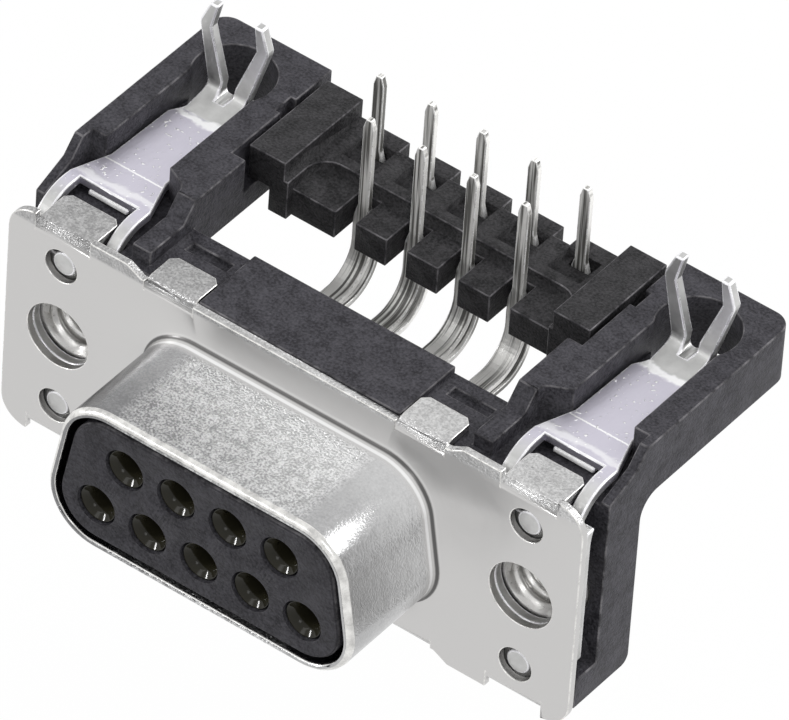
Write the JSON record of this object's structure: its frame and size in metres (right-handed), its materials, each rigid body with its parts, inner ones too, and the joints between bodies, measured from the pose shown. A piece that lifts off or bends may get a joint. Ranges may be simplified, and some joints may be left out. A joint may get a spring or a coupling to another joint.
{
  "type": "right-angle d-sub board connector",
  "caption": "Right-angle D-sub socket for a circuit board: tin-plated shell with folded tabs, black insulator with arms, bent contacts in a tail aligner, ground straps with board locks.",
  "frame": {"origin": "on the mating axis, midway between the two screw holes, in the front plane of the flange", "axes": "+X along the flange, +Y from the mating side to the rear, +Z towards the board, tails up as in the picture"},
  "size_m": [0.0308, 0.021, 0.0167],
  "materials": {
    "shell_tin": "satin tin plate on steel sheet",
    "strap_tin": "bright tin plate on spring strip",
    "contact_tin": "tin-plated copper alloy strip",
    "insert_nickel": "nickel-plated turned insert",
    "black_insulator": "matt glass-filled thermoplastic",
    "black_aligner": "matt glass-filled thermoplastic"
  },
  "bodies": {
    "root": {"front_shell": "shell_tin", "insulator_housing": "black_insulator", "tail_aligner": "black_aligner", "ground_strap_left": "strap_tin", "ground_strap_right": "strap_tin", "threaded_insert_left": "insert_nickel", "threaded_insert_right": "insert_nickel", "contact_1": "contact_tin", "contact_2": "contact_tin", "contact_3": "contact_tin", "contact_4": "contact_tin", "contact_5": "contact_tin", "contact_6": "contact_tin", "contact_7": "contact_tin", "contact_8": "contact_tin", "contact_9": "contact_tin"}
  },
  "joints": []
}
